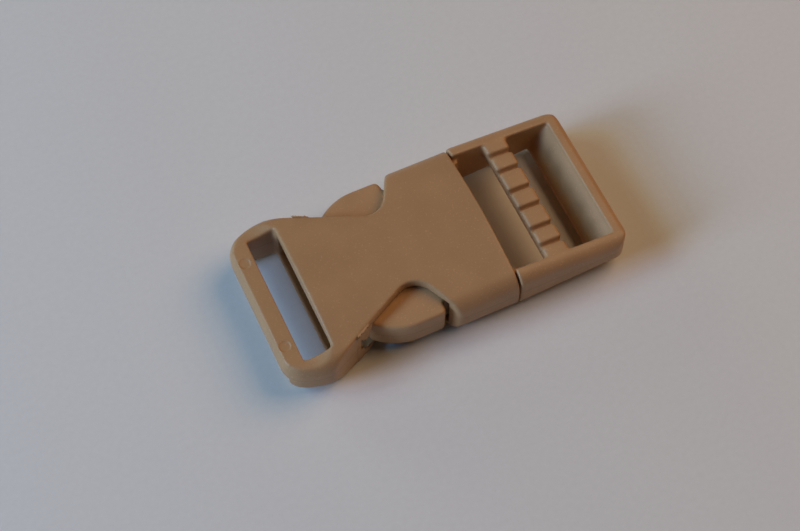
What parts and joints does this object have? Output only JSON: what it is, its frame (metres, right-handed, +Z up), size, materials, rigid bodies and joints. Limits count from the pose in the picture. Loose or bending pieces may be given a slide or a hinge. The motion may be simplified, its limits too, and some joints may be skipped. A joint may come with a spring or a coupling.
{
  "type": "side release buckle",
  "caption": "Fastened side release buckle for flat webbing: a waisted socket with a strap bar, and a plug with squeeze pads and a ribbed ladder frame.",
  "frame": {"origin": "under the middle of the buckle, on the surface that it lies on", "axes": "+X from the strap bar to the free end of the ladder frame, +Z up through the buckle's height"},
  "size_m": [0.0674, 0.033, 0.0114],
  "materials": {
    "socket": "semi-gloss",
    "plug": "semi-gloss"
  },
  "bodies": {
    "root": {"socket": "socket", "plug": "plug"}
  },
  "joints": []
}
